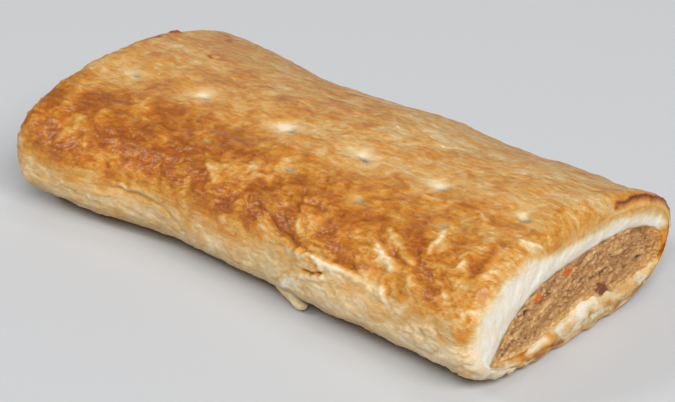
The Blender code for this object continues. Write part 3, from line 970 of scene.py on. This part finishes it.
def make_filling():
    """The log of mince: a cut face at each end, and the skin that joins their edges."""
    near, near_colour = meat_face(1.0, 301)
    far, far_colour = meat_face(-1.0, 707)
    across = FACE_ACROSS + 1
    count = near.shape[0] * across
    near_faces = grid_faces(FACE_UP + 1, across, False)
    far_faces = near_faces[:, ::-1] + count
    bottom = np.arange(across)
    edges = np.stack([bottom + FACE_UP * across, bottom])
    start, end = edges[:, :-1], edges[:, 1:]
    roof, floor = np.stack([start, end, end + count, start + count], axis=-1)
    faces = np.concatenate([near_faces, far_faces, roof, floor[:, ::-1]])
    points = np.concatenate([near.reshape(-1, 3), far.reshape(-1, 3)])
    colours = np.concatenate([near_colour.reshape(-1, 3), far_colour.reshape(-1, 3)])
    look = np.concatenate([colours, np.full((len(points), 1), UNREAD)], axis=1)
    return mesh_object("minced_filling", points, faces.tolist(), look)


# ---- Curl of dough ----
CURL_PATH = (
    (8.6, -32, 8), (10.6, -32.5, 6), (11.8, -32, 4.5), (13.1, -31.8, 3.5), (14.4, -31.8, 2.6),
    (15.7, -32.3, 1.9), (16.7, -31.9, 1.6), (16.1, -30.8, 1.9),
)
CURL_RADIUS = (1.2, 1.8, 2.0, 1.85, 1.6, 1.35, 1.1, 0.7)
CURL_RINGS = 70
CURL_AROUND = 28
CURL_FLATNESS = 0.85
CURL_LUMPS = 0.22


def smooth_path(knots, count):
    """A rounded path through knots, by three passes of corner cutting, resampled to count points."""
    path = np.array(knots, float)
    for _ in range(3):
        early = 0.75 * path[:-1] + 0.25 * path[1:]
        late = 0.25 * path[:-1] + 0.75 * path[1:]
        cut = np.stack([early, late], axis=1).reshape(-1, path.shape[1])
        path = np.concatenate([path[:1], cut, path[-1:]])
    run = np.concatenate([[0.0], np.cumsum(np.linalg.norm(np.diff(path[:, :3], axis=0), axis=1))])
    even = np.linspace(0, run[-1], count)
    return np.stack([np.interp(even, run, path[:, k]) for k in range(path.shape[1])], axis=1)


def tube(path, radii):
    """The curl's lumpy tube along path: points in rings, then a middle for each end; and its faces."""
    heading = np.gradient(path, axis=0)
    heading /= np.linalg.norm(heading, axis=1, keepdims=True)
    side = np.cross(heading, [0.0, 0.0, 1.0])
    side /= np.linalg.norm(side, axis=1, keepdims=True)
    up = CURL_FLATNESS * np.cross(side, heading)
    turn = np.linspace(0, 2 * math.pi, CURL_AROUND, endpoint=False)[None, :, None]
    ring = np.cos(turn) * side[:, None] + np.sin(turn) * up[:, None]
    ends = np.minimum(np.arange(CURL_RINGS), np.arange(CURL_RINGS)[::-1])
    close = np.sqrt(1 - (1 - np.clip((ends + 0.25) / 4, 0, 1)) ** 2)
    points = path[:, None] + ring * (radii * close)[:, None, None]
    points = points + ring * (CURL_LUMPS * layered_noise(points / 1.4, 811, 3))[..., None]
    middles = np.array([points[0].mean(axis=0), points[-1].mean(axis=0)])
    count = CURL_RINGS * CURL_AROUND
    last = count - CURL_AROUND
    edges = [(first, (first + 1) % CURL_AROUND) for first in range(CURL_AROUND)]
    faces = grid_faces(CURL_RINGS, CURL_AROUND, True).tolist()
    faces += [(following, first, count) for first, following in edges]
    faces += [(last + first, last + following, count + 1) for first, following in edges]
    return np.concatenate([points.reshape(-1, 3), middles]), faces


def make_curl():
    """The tongue of dough that escaped under the front."""
    path = smooth_path([place + (radius,) for place, radius in zip(CURL_PATH, CURL_RADIUS)], CURL_RINGS)
    points, faces = tube(path[:, :3], path[:, 3])
    points[:, 2] = np.maximum(points[:, 2], 0.05)
    shade = layered_noise(points / 1.6, 815, 3)
    brown = 0.10 + 0.10 * shade + 0.24 * ease(points[:, 0], 14.5, 11.0)
    return mesh_object("dough_curl", points, faces, look_of(brown, 0.3, 0.6, 1.0))


# ---- Materials ----
# level of browning, and the dough's colour at it
BROWNING = (
    (0.00, (233, 228, 218)),
    (0.14, (230, 209, 171)),
    (0.30, (214, 181, 128)),
    (0.46, (208, 157, 83)),
    (0.60, (198, 134, 44)),
    (0.74, (181, 110, 27)),
    (0.90, (158, 86, 19)),
    (1.10, (132, 62, 14)),
    (1.35, (82, 38, 14)),
    (1.60, (46, 24, 13)),
)
MOST_BROWN = 1.6


def node(tree, kind, **settings):
    """A new node of the kind, with its settings."""
    made = tree.nodes.new(kind)
    for name, value in settings.items():
        setattr(made, name, value)
    return made


def fed(tree, made, **sources):
    """Sets or links the inputs of a node; underscores in a name stand for spaces."""
    for name, source in sources.items():
        socket = made.inputs[name.replace("_", " ")]
        if isinstance(source, bpy.types.NodeSocket):
            tree.links.new(source, socket)
        else:
            socket.default_value = source
    return made


def math_node(tree, operation, *values):
    """The result of a Math node on sockets and numbers."""
    made = node(tree, "ShaderNodeMath", operation=operation)
    for socket, value in zip(made.inputs, values):
        if isinstance(value, bpy.types.NodeSocket):
            tree.links.new(value, socket)
        else:
            socket.default_value = value
    return made.outputs["Value"]


def noise_node(tree, vector, scale, detail, roughness, distortion):
    """Noise of 0 to 1 round its middle, 0.5."""
    made = node(tree, "ShaderNodeTexNoise")
    fed(tree, made, Vector=vector, Scale=scale, Detail=detail, Roughness=roughness, Distortion=distortion)
    return made.outputs["Fac"]


def tinted(tree, colour, by):
    """A colour socket multiplied by another."""
    made = node(tree, "ShaderNodeMix", data_type="RGBA", blend_type="MULTIPLY")
    made.inputs["Factor"].default_value = 1.0
    fed(tree, made, A=colour, B=by)
    return made.outputs["Result"]


def stretched_noise(tree, place, scale, detail, roughness, distortion):
    """Noise on place, with so many cells to a millimetre along x, y and z."""
    mapped = fed(tree, node(tree, "ShaderNodeMapping"), Vector=place, Scale=tuple(1000 * s for s in scale))
    return noise_node(tree, mapped.outputs["Vector"], 1.0, detail, roughness, distortion)


def thin_lines(tree, noise, width):
    """1 on the lines where noise crosses its middle, 0 away from them."""
    off = math_node(tree, "ABSOLUTE", math_node(tree, "SUBTRACT", noise, 0.5))
    return math_node(tree, "MAXIMUM", math_node(tree, "MULTIPLY_ADD", off, -1.0 / width, 1.0), 0.0)


def new_material(name):
    """A node material, its tree and shader, the mesh's look, and the place on the object."""
    made = bpy.data.materials.new(name)
    made.use_nodes = True
    tree = made.node_tree
    look = node(tree, "ShaderNodeAttribute", attribute_name="look")
    place = node(tree, "ShaderNodeTexCoord").outputs["Object"]
    return made, tree, tree.nodes["Principled BSDF"], look, place


def ramp_node(tree, by, stops):
    """The colour on a ramp of (position, linear colour) stops."""
    ramp = node(tree, "ShaderNodeValToRGB")
    elements = ramp.color_ramp.elements
    while len(elements) < len(stops):
        elements.new(0.5)
    for element, (position, colour) in zip(elements, stops):
        element.position = position
        element.color = (*colour, 1.0)
    tree.links.new(by, ramp.inputs["Fac"])
    return ramp.outputs["Color"]


def bumped(tree, shader, height, strength, distance):
    """Fine relief on the shader."""
    bump = fed(tree, node(tree, "ShaderNodeBump"), Strength=strength, Distance=distance, Height=height)
    tree.links.new(bump.outputs["Normal"], shader.inputs["Normal"])


WARMTH = ((0.36, (1.03, 0.95, 0.86)), (0.64, (1.0, 1.02, 1.0)))


def pastry_material():
    """Baked dough: the mesh gives the level of browning, and fine grain breaks it up."""
    made, tree, shader, look, place = new_material("puff_pastry")
    channels = fed(tree, node(tree, "ShaderNodeSeparateColor"), Color=look.outputs["Color"])
    brown, gloss, grain = (channels.outputs[name] for name in ("Red", "Green", "Blue"))
    streaks = stretched_noise(tree, place, (0.11, 0.42, 0.50), 5.0, 0.62, 1.6)
    specks = stretched_noise(tree, place, (0.60, 0.80, 0.80), 5.0, 0.68, 1.2)
    wrinkles = stretched_noise(tree, place, (0.17, 0.38, 0.38), 3.0, 0.55, 2.2)
    pores = stretched_noise(tree, place, (3.0, 3.0, 3.0), 2.0, 0.55, 0.0)
    patches = stretched_noise(tree, place, (0.13, 0.16, 0.16), 4.0, 0.6, 0.8)
    lines = thin_lines(tree, wrinkles, 0.045)

    swing = math_node(tree, "MULTIPLY_ADD", streaks, 0.62, -0.31)
    swing = math_node(tree, "ADD", swing, math_node(tree, "MULTIPLY_ADD", specks, 0.26, -0.13))
    swing = math_node(tree, "MULTIPLY_ADD", lines, -0.06, swing)
    level = math_node(tree, "ADD", brown, math_node(tree, "MULTIPLY", swing, grain))
    level = math_node(tree, "DIVIDE", level, MOST_BROWN)
    baked = ramp_node(tree, level, [(at / MOST_BROWN, linear(shade)) for at, shade in BROWNING])
    colour = tinted(tree, baked, ramp_node(tree, patches, WARMTH))
    # the look's fourth channel darkens the colour: painted shade
    colour = tinted(tree, colour, look.outputs["Alpha"])

    rough = fed(tree, node(tree, "ShaderNodeMapRange"), Value=gloss, To_Min=0.60, To_Max=0.36)
    uneven = math_node(tree, "MULTIPLY_ADD", specks, 0.30, -0.15)
    rough = math_node(tree, "ADD", rough.outputs["Result"], uneven)
    coat = math_node(tree, "MULTIPLY", gloss, 0.36)
    fed(tree, shader, Base_Color=colour, Roughness=rough, Specular_IOR_Level=0.30, Subsurface_Weight=0.12,
        Subsurface_Radius=(1.0, 0.5, 0.25), Subsurface_Scale=0.0010, Coat_Weight=coat, Coat_Roughness=0.27)

    height = math_node(tree, "MULTIPLY", pores, 0.10)
    height = math_node(tree, "MULTIPLY_ADD", streaks, 0.9, height)
    height = math_node(tree, "MULTIPLY_ADD", specks, 0.4, height)
    height = math_node(tree, "MULTIPLY_ADD", lines, 0.22, height)
    bumped(tree, shader, math_node(tree, "MULTIPLY", height, grain), 0.8, 0.0006)
    return made


def mince_material():
    """Cooked mince: the mesh gives the colour, and fine grain and damp gloss go over it."""
    made, tree, shader, look, place = new_material("cooked_mince")
    grain = noise_node(tree, place, 1500.0, 4.0, 0.6, 0.3)
    coarse = noise_node(tree, place, 500.0, 3.0, 0.55, 0.0)
    swing = math_node(tree, "MULTIPLY_ADD", grain, 0.90, 0.28)
    swing = math_node(tree, "ADD", swing, math_node(tree, "MULTIPLY", coarse, 0.52))
    colour = tinted(tree, look.outputs["Color"], swing)
    rough = fed(tree, node(tree, "ShaderNodeMapRange"), Value=coarse, To_Min=0.34, To_Max=0.70)
    fed(tree, shader, Base_Color=colour, Roughness=rough.outputs["Result"], Subsurface_Weight=0.12,
        Subsurface_Radius=(1.0, 0.4, 0.2), Subsurface_Scale=0.0008)
    bumped(tree, shader, grain, 0.5, 0.0003)
    return made


# ---- Stage ----
CAMERA_AZIMUTH = 40.97
CAMERA_ELEVATION = 27.84
CAMERA_DISTANCE = 0.6238
CAMERA_TARGET = (0.00486, -0.00679, 0.0140)
CAMERA_LENS = 145.3
WORLD_COLOUR = (0.97, 0.985, 1.0, 1.0)
WORLD_STRENGTH = 0.10
FLOOR_COLOUR = (0.545, 0.553, 0.565, 1.0)
FLOOR_HALF = 3.0
# name, azimuth and elevation in degrees, distance and size in metres, power in watts
LIGHTS = (
    ("key", 40, 42, 4, 1.8, 102),
    ("side", 72, 42, 4, 1.8, 90),
    ("overhead", 160, 78, 4, 1.6, 16),
    ("backdrop", -139, 26, 3, 2, 8),
    ("softbox", -47, 38, 2.5, 0.5, 14),
)


def from_bearing(azimuth, elevation, distance):
    """A place so far from the origin; azimuth 0 is the front, and 90 the near end."""
    a, e = math.radians(azimuth), math.radians(elevation)
    return Vector((math.sin(a) * math.cos(e), -math.cos(a) * math.cos(e), math.sin(e))) * distance


def add_camera():
    """The camera at the photograph's viewing angle."""
    data = bpy.data.cameras.new("camera")
    data.lens = CAMERA_LENS
    data.clip_start = 0.01
    camera = bpy.data.objects.new("camera", data)
    target = Vector(CAMERA_TARGET)
    camera.location = target + from_bearing(CAMERA_AZIMUTH, CAMERA_ELEVATION, CAMERA_DISTANCE)
    camera.rotation_euler = (target - camera.location).to_track_quat("-Z", "Y").to_euler()
    bpy.context.scene.collection.objects.link(camera)
    bpy.context.scene.camera = camera


def add_light(name, azimuth, elevation, distance, size, power):
    """A round soft light that faces the origin."""
    data = bpy.data.lights.new(name, "AREA")
    data.shape = "DISK"
    data.size = size
    data.energy = power
    light = bpy.data.objects.new(name, data)
    light.location = from_bearing(azimuth, elevation, distance)
    light.rotation_euler = (-light.location).to_track_quat("-Z", "Y").to_euler()
    bpy.context.scene.collection.objects.link(light)


def add_floor():
    """A plain pale floor."""
    mesh = bpy.data.meshes.new("floor")
    corners = [(x * FLOOR_HALF, y * FLOOR_HALF, 0) for x, y in ((-1, -1), (1, -1), (1, 1), (-1, 1))]
    mesh.from_pydata(corners, [], [(0, 1, 2, 3)])
    floor = bpy.data.objects.new("floor", mesh)
    bpy.context.scene.collection.objects.link(floor)
    paint = bpy.data.materials.new("floor")
    paint.use_nodes = True
    fed(paint.node_tree, paint.node_tree.nodes["Principled BSDF"], Base_Color=FLOOR_COLOUR, Roughness=0.8)
    mesh.materials.append(paint)


def add_stage():
    """The floor, the lights and a faint even light from all round."""
    scene = bpy.context.scene
    scene.view_settings.view_transform = "Standard"
    scene.world = bpy.data.worlds.new("studio")
    scene.world.use_nodes = True
    tree = scene.world.node_tree
    fed(tree, tree.nodes["Background"], Color=WORLD_COLOUR, Strength=WORLD_STRENGTH)
    add_floor()
    for light in LIGHTS:
        add_light(*light)


def main():
    """Makes the pieces; each rides on the one body and stands for its solid."""
    add_camera()
    add_stage()
    pastry = pastry_material()
    crust = make_crust()
    crust.data.materials.append(pastry)
    filling = make_filling()
    filling.data.materials.append(mince_material())
    curl = make_curl()
    curl.data.materials.append(pastry)
    for piece, solid in ((crust, "pastry"), (filling, "filling"), (curl, "pastry")):
        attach(piece, "root")
        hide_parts(solid)


main()
